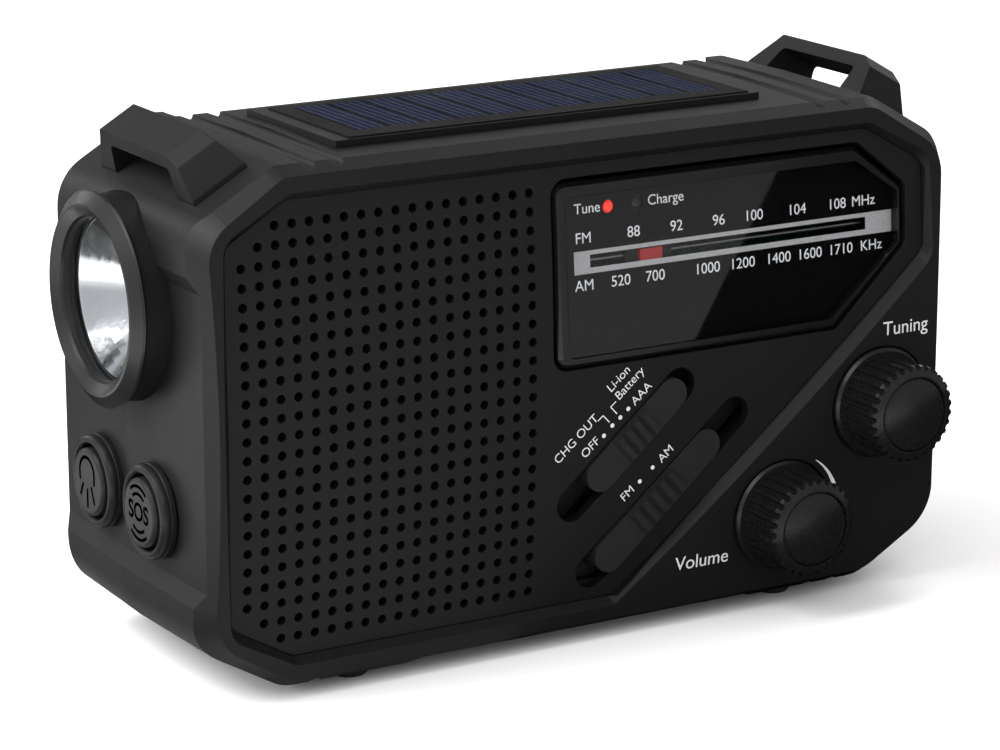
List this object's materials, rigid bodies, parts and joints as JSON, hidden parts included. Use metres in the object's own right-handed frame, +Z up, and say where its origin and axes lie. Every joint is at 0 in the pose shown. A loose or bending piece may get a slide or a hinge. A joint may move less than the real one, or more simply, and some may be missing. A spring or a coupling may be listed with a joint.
{
  "type": "emergency radio",
  "caption": "Emergency radio with a dial, knobs, sliders, end torch, solar panel, folding crank and telescopic aerial.",
  "frame": {"origin": "on the standing plane under the middle of the case's width, in the parting plane between the two case halves", "axes": "+X to the right as the dial is read, +Y to the back, +Z up"},
  "size_m": [0.1664, 0.0757, 0.1015],
  "materials": {
    "case_black": "matte fine-textured black plastic",
    "panel_black": "matte black plastic",
    "gloss_black": "glossy black plastic",
    "knob_black": "satin black plastic",
    "lens_clear": "clear moulded lens",
    "scale_black": "black dial plate with a printed scale",
    "pointer_red": "dark red plastic",
    "led_red": "red diffused lamp",
    "reflector_chrome": "vacuum metallised reflector",
    "steel": "bright steel",
    "chrome": "polished chrome",
    "rubber_black": "soft black rubber",
    "cloth_black": "black woven grille cloth",
    "cone_paper": "dark pressed paper cone",
    "magnet_dark": "dark ferrite and steel",
    "board_green": "green solder-masked board",
    "solar_blue": "solar cells under clear resin",
    "nylon_white": "white moulded nylon",
    "cell_blue": "shrink-wrapped battery cell",
    "cell_grey": "sleeved battery cell",
    "copper": "enamelled copper winding"
  },
  "bodies": {
    "case": {"aaa_cells": "cell_grey", "aerial_coil": "copper", "battery_cell": "cell_blue", "battery_contacts": "steel", "board_parts": "panel_black", "button_board": "board_green", "button_collars": "gloss_black", "case_screws": "steel", "dial_bezel": "gloss_black", "dial_lens": "lens_clear", "dial_scale": "scale_black", "ferrite_rod": "magnet_dark", "front_panel": "panel_black", "front_shell": "case_black", "generator_case": "steel", "grille_cloth": "cloth_black", "indicator_lamps": "led_red", "main_board": "board_green", "pointer_rail": "steel", "port_board": "board_green", "rear_shell": "case_black", "rubber_feet": "rubber_black", "slide_switches": "steel", "solar_panel": "solar_blue", "solar_tray": "case_black", "speaker_cone": "cone_paper", "speaker_frame": "steel", "speaker_magnet": "magnet_dark", "strap_loop_left": "case_black", "strap_loop_right": "case_black", "torch_barrel": "panel_black", "torch_bezel": "gloss_black", "torch_lamp": "nylon_white", "torch_lens": "lens_clear", "torch_reflector": "reflector_chrome", "tuning_capacitor": "nylon_white", "usb_a_socket": "steel", "usb_c_socket": "steel", "volume_control": "steel"},
    "volume": {"volume_knob": "knob_black"},
    "tuning": {"tuning_knob": "knob_black", "dial_drum": "nylon_white"},
    "pointer": {"dial_pointer": "pointer_red"},
    "power_thumb": {"power_slider": "knob_black"},
    "band_thumb": {"band_slider": "knob_black"},
    "sos_push": {"sos_button": "knob_black"},
    "torch_push": {"torch_button": "knob_black"},
    "crank": {"crank_arm": "case_black", "drive_gear": "nylon_white"},
    "grip_mount": {"grip_core": "steel"},
    "grip": {"crank_grip": "gloss_black"},
    "rotor": {"generator_rotor": "steel"},
    "aerial_foot": {"aerial_base": "chrome"},
    "aerial": {"aerial_tube": "chrome"},
    "section_2": {"aerial_section_2": "chrome"},
    "section_3": {"aerial_section_3": "chrome"},
    "section_4": {"aerial_section_4": "chrome"},
    "tip": {"aerial_tip": "chrome"},
    "door": {"battery_door": "case_black"},
    "flap": {"port_flap": "rubber_black"}
  },
  "joints": [
    {"name": "volume_turn", "type": "hinge", "parent": "case", "child": "volume", "pos_m": [0.0419, -0.03, 0.0184], "axis": [0, 1, 0], "range_deg": [-150, 150]},
    {"name": "tuning_turn", "type": "hinge", "parent": "case", "child": "tuning", "pos_m": [0.0636, -0.03, 0.0378], "axis": [0, 1, 0], "range_deg": [-66.85, 289.66]},
    {"name": "pointer_travel", "type": "slide", "parent": "case", "child": "pointer", "axis": [1, 0, 0], "range_m": [-0.0106, 0.0456]},
    {"name": "power_slide", "type": "slide", "parent": "case", "child": "power_thumb", "axis": [0.757, 0, 0.6534], "range_m": [-0.0068, 0]},
    {"name": "band_slide", "type": "slide", "parent": "case", "child": "band_thumb", "axis": [0.757, 0, 0.6534], "range_m": [0, 0.0036]},
    {"name": "sos_press", "type": "slide", "parent": "case", "child": "sos_push", "axis": [1, 0, 0], "range_m": [0, 0.001], "stiffness_N_per_m": 300},
    {"name": "torch_press", "type": "slide", "parent": "case", "child": "torch_push", "axis": [1, 0, 0], "range_m": [0, 0.001], "stiffness_N_per_m": 300},
    {"name": "crank_turn", "type": "hinge", "parent": "case", "child": "crank", "pos_m": [0.03, 0.01, 0.049], "axis": [0, 1, 0], "continuous": true},
    {"name": "grip_fold", "type": "hinge", "parent": "crank", "child": "grip_mount", "pos_m": [0.004, 0.025, 0.049], "axis": [0, 0, 1], "range_deg": [0, 90]},
    {"name": "grip_spin", "type": "hinge", "parent": "grip_mount", "child": "grip", "pos_m": [0.018, 0.025, 0.049], "axis": [1, 0, 0], "continuous": true},
    {"name": "rotor_turn", "type": "hinge", "parent": "case", "child": "rotor", "pos_m": [0.006, 0, 0.049], "axis": [0, 1, 0], "continuous": true},
    {"name": "aerial_swivel", "type": "hinge", "parent": "case", "child": "aerial_foot", "pos_m": [-0.05, 0.0242, 0.0865], "axis": [0, 0, 1], "range_deg": [0, 100]},
    {"name": "aerial_lift", "type": "hinge", "parent": "aerial_foot", "child": "aerial", "pos_m": [-0.05, 0.0242, 0.0905], "axis": [0, -1, 0], "range_deg": [0, 90]},
    {"name": "section_2_slide", "type": "slide", "parent": "aerial", "child": "section_2", "axis": [1, 0, 0], "range_m": [0, 0.076]},
    {"name": "section_3_slide", "type": "slide", "parent": "section_2", "child": "section_3", "axis": [1, 0, 0], "range_m": [0, 0.076]},
    {"name": "section_4_slide", "type": "slide", "parent": "section_3", "child": "section_4", "axis": [1, 0, 0], "range_m": [0, 0.076]},
    {"name": "tip_slide", "type": "slide", "parent": "section_4", "child": "tip", "axis": [1, 0, 0], "range_m": [0, 0.074]},
    {"name": "door_pull", "type": "slide", "parent": "case", "child": "door", "axis": [0, 1, 0], "range_m": [0, 0.02]},
    {"name": "flap_open", "type": "hinge", "parent": "case", "child": "flap", "pos_m": [0.0794, 0.0118, 0.044], "axis": [0, 0, 1], "range_deg": [0, 88]}
  ],
  "couplings": [
    {"joint": "pointer_travel", "follows": "tuning_turn", "m_per_rad": 0.009},
    {"joint": "rotor_turn", "follows": "crank_turn", "ratio": -4}
  ]
}
